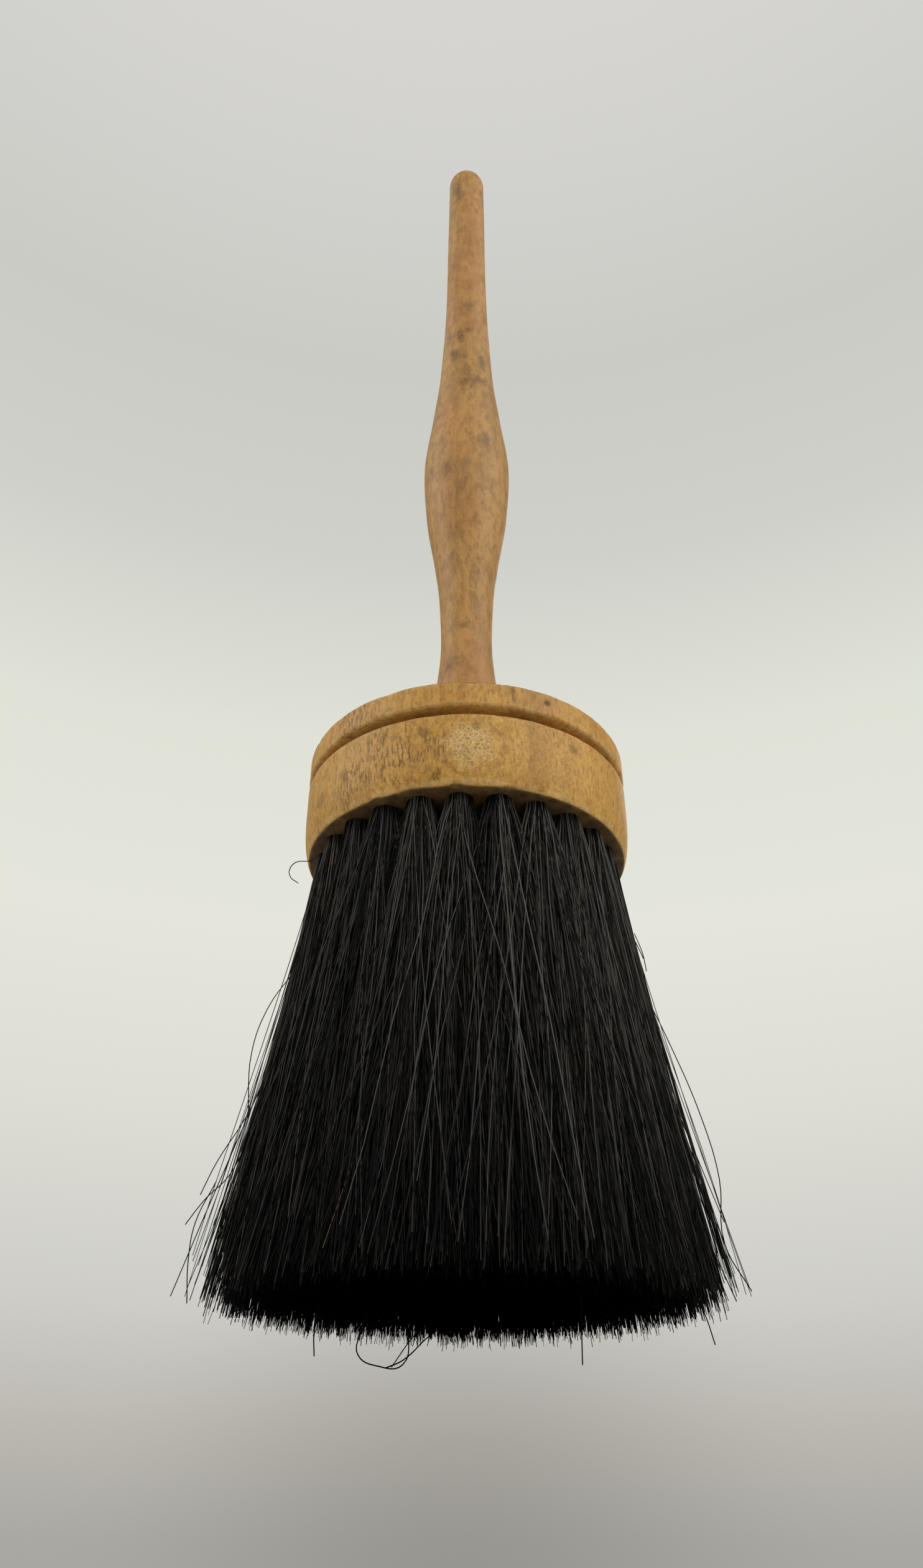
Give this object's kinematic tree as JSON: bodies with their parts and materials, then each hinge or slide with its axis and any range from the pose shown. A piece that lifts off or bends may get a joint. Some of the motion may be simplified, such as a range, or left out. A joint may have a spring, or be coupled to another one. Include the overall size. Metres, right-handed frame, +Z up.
{
  "type": "barber neck duster brush",
  "caption": "Barber's duster: long turned wooden handle on a round two-part wooden head, with rings of dark hair tufts drawn into splayed holes and cut flat.",
  "frame": {"origin": "centre of the cut ends of the hair, on the surface that the brush stands on", "axes": "+Z up through the head and along the handle to its end"},
  "size_m": [0.072, 0.072, 0.2972],
  "materials": {
    "handle_wood": "worn varnish, satin",
    "head_wood": "worn varnish, satin",
    "steel": "plain",
    "wire": "drawn",
    "hair": "natural black horsehair"
  },
  "bodies": {
    "root": {"handle": "handle_wood", "head_cap": "head_wood", "tuft_block": "head_wood", "handle_screw": "steel", "cap_brads": "steel", "draw_wire_centre": "wire", "draw_wire_inner": "wire", "draw_wire_middle": "wire", "draw_wire_outer": "wire", "tuft_centre_01": "hair", "tuft_inner_01": "hair", "tuft_inner_02": "hair", "tuft_inner_03": "hair", "tuft_inner_04": "hair", "tuft_inner_05": "hair", "tuft_inner_06": "hair", "tuft_inner_07": "hair", "tuft_inner_08": "hair", "tuft_middle_01": "hair", "tuft_middle_02": "hair", "tuft_middle_03": "hair", "tuft_middle_04": "hair", "tuft_middle_05": "hair", "tuft_middle_06": "hair", "tuft_middle_07": "hair", "tuft_middle_08": "hair", "tuft_middle_09": "hair", "tuft_middle_10": "hair", "tuft_middle_11": "hair", "tuft_middle_12": "hair", "tuft_middle_13": "hair", "tuft_middle_14": "hair", "tuft_middle_15": "hair", "tuft_middle_16": "hair", "tuft_outer_01": "hair", "tuft_outer_02": "hair", "tuft_outer_03": "hair", "tuft_outer_04": "hair", "tuft_outer_05": "hair", "tuft_outer_06": "hair", "tuft_outer_07": "hair", "tuft_outer_08": "hair", "tuft_outer_09": "hair", "tuft_outer_10": "hair", "tuft_outer_11": "hair", "tuft_outer_12": "hair", "tuft_outer_13": "hair", "tuft_outer_14": "hair", "tuft_outer_15": "hair", "tuft_outer_16": "hair", "tuft_outer_17": "hair", "tuft_outer_18": "hair", "tuft_outer_19": "hair", "tuft_outer_20": "hair", "tuft_outer_21": "hair", "tuft_outer_22": "hair", "tuft_outer_23": "hair", "tuft_outer_24": "hair"}
  },
  "joints": []
}
